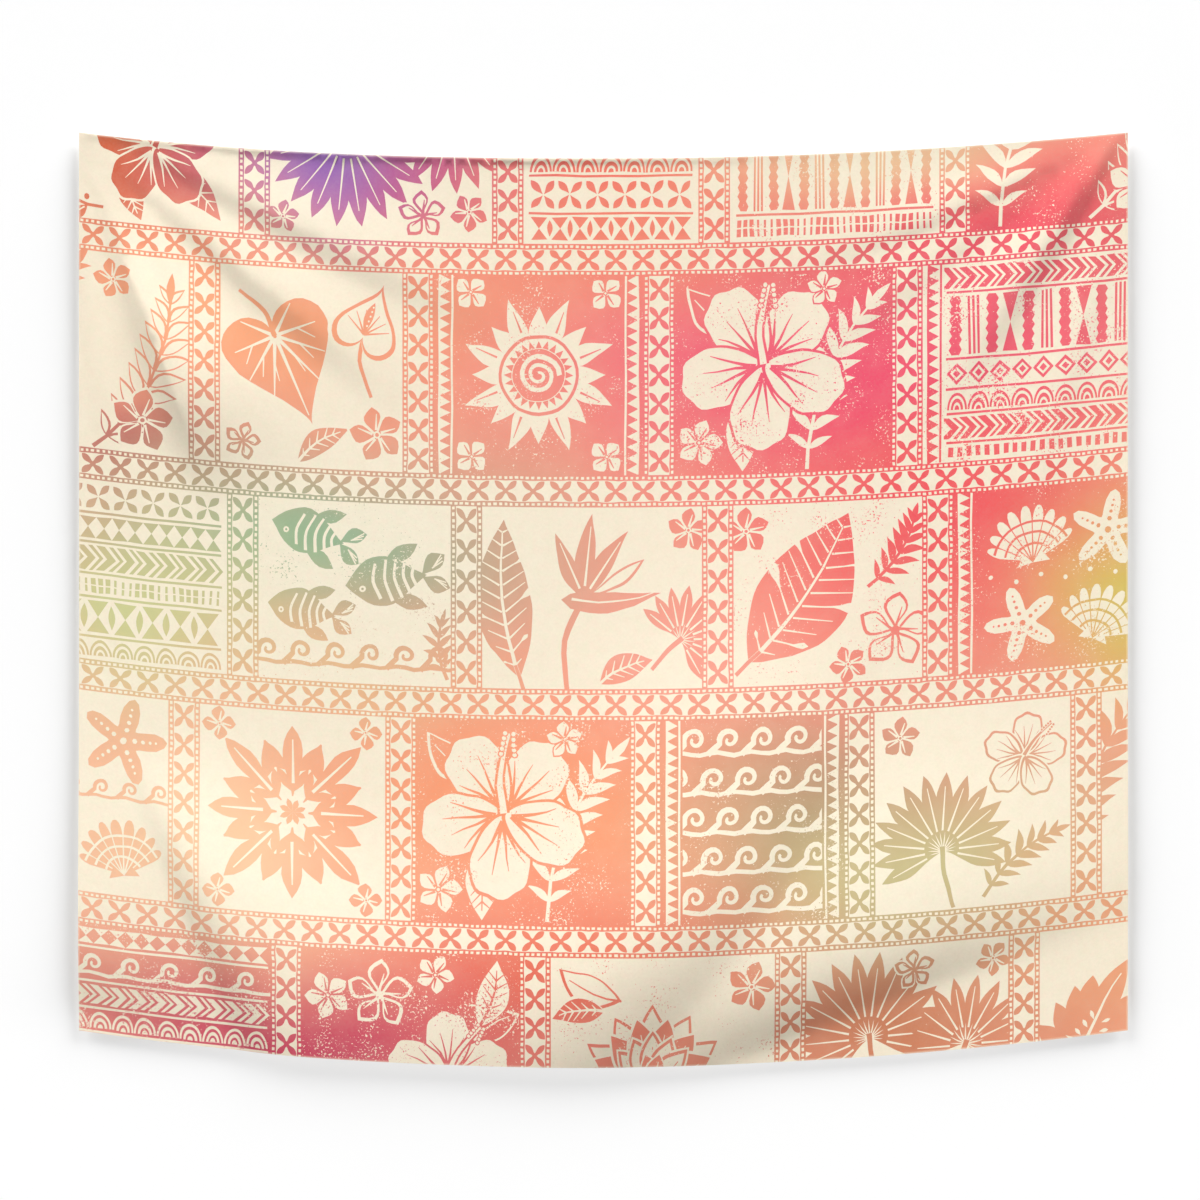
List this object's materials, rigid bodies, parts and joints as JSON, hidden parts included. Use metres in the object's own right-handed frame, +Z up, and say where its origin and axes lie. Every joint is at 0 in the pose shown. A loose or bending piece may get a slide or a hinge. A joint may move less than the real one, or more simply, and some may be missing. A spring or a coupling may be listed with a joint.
{
  "type": "wall tapestry",
  "caption": "Thin rectangular printed cloth that hangs on a wall from its two upper corners, with soft folds fanning out from them.",
  "frame": {"origin": "middle of the upper edge, half way through the cloth", "axes": "+X to the right as the cloth is looked at, +Y back towards the wall, +Z up; the printed front faces -Y"},
  "size_m": [1.5162, 0.0362, 1.3497],
  "materials": {
    "printed_cloth": "matt woven polyester, printed on the front in soft coral, pink, green and orange on cream, plain on the back"
  },
  "bodies": {
    "root": {"tapestry_cloth": "printed_cloth"}
  },
  "joints": []
}
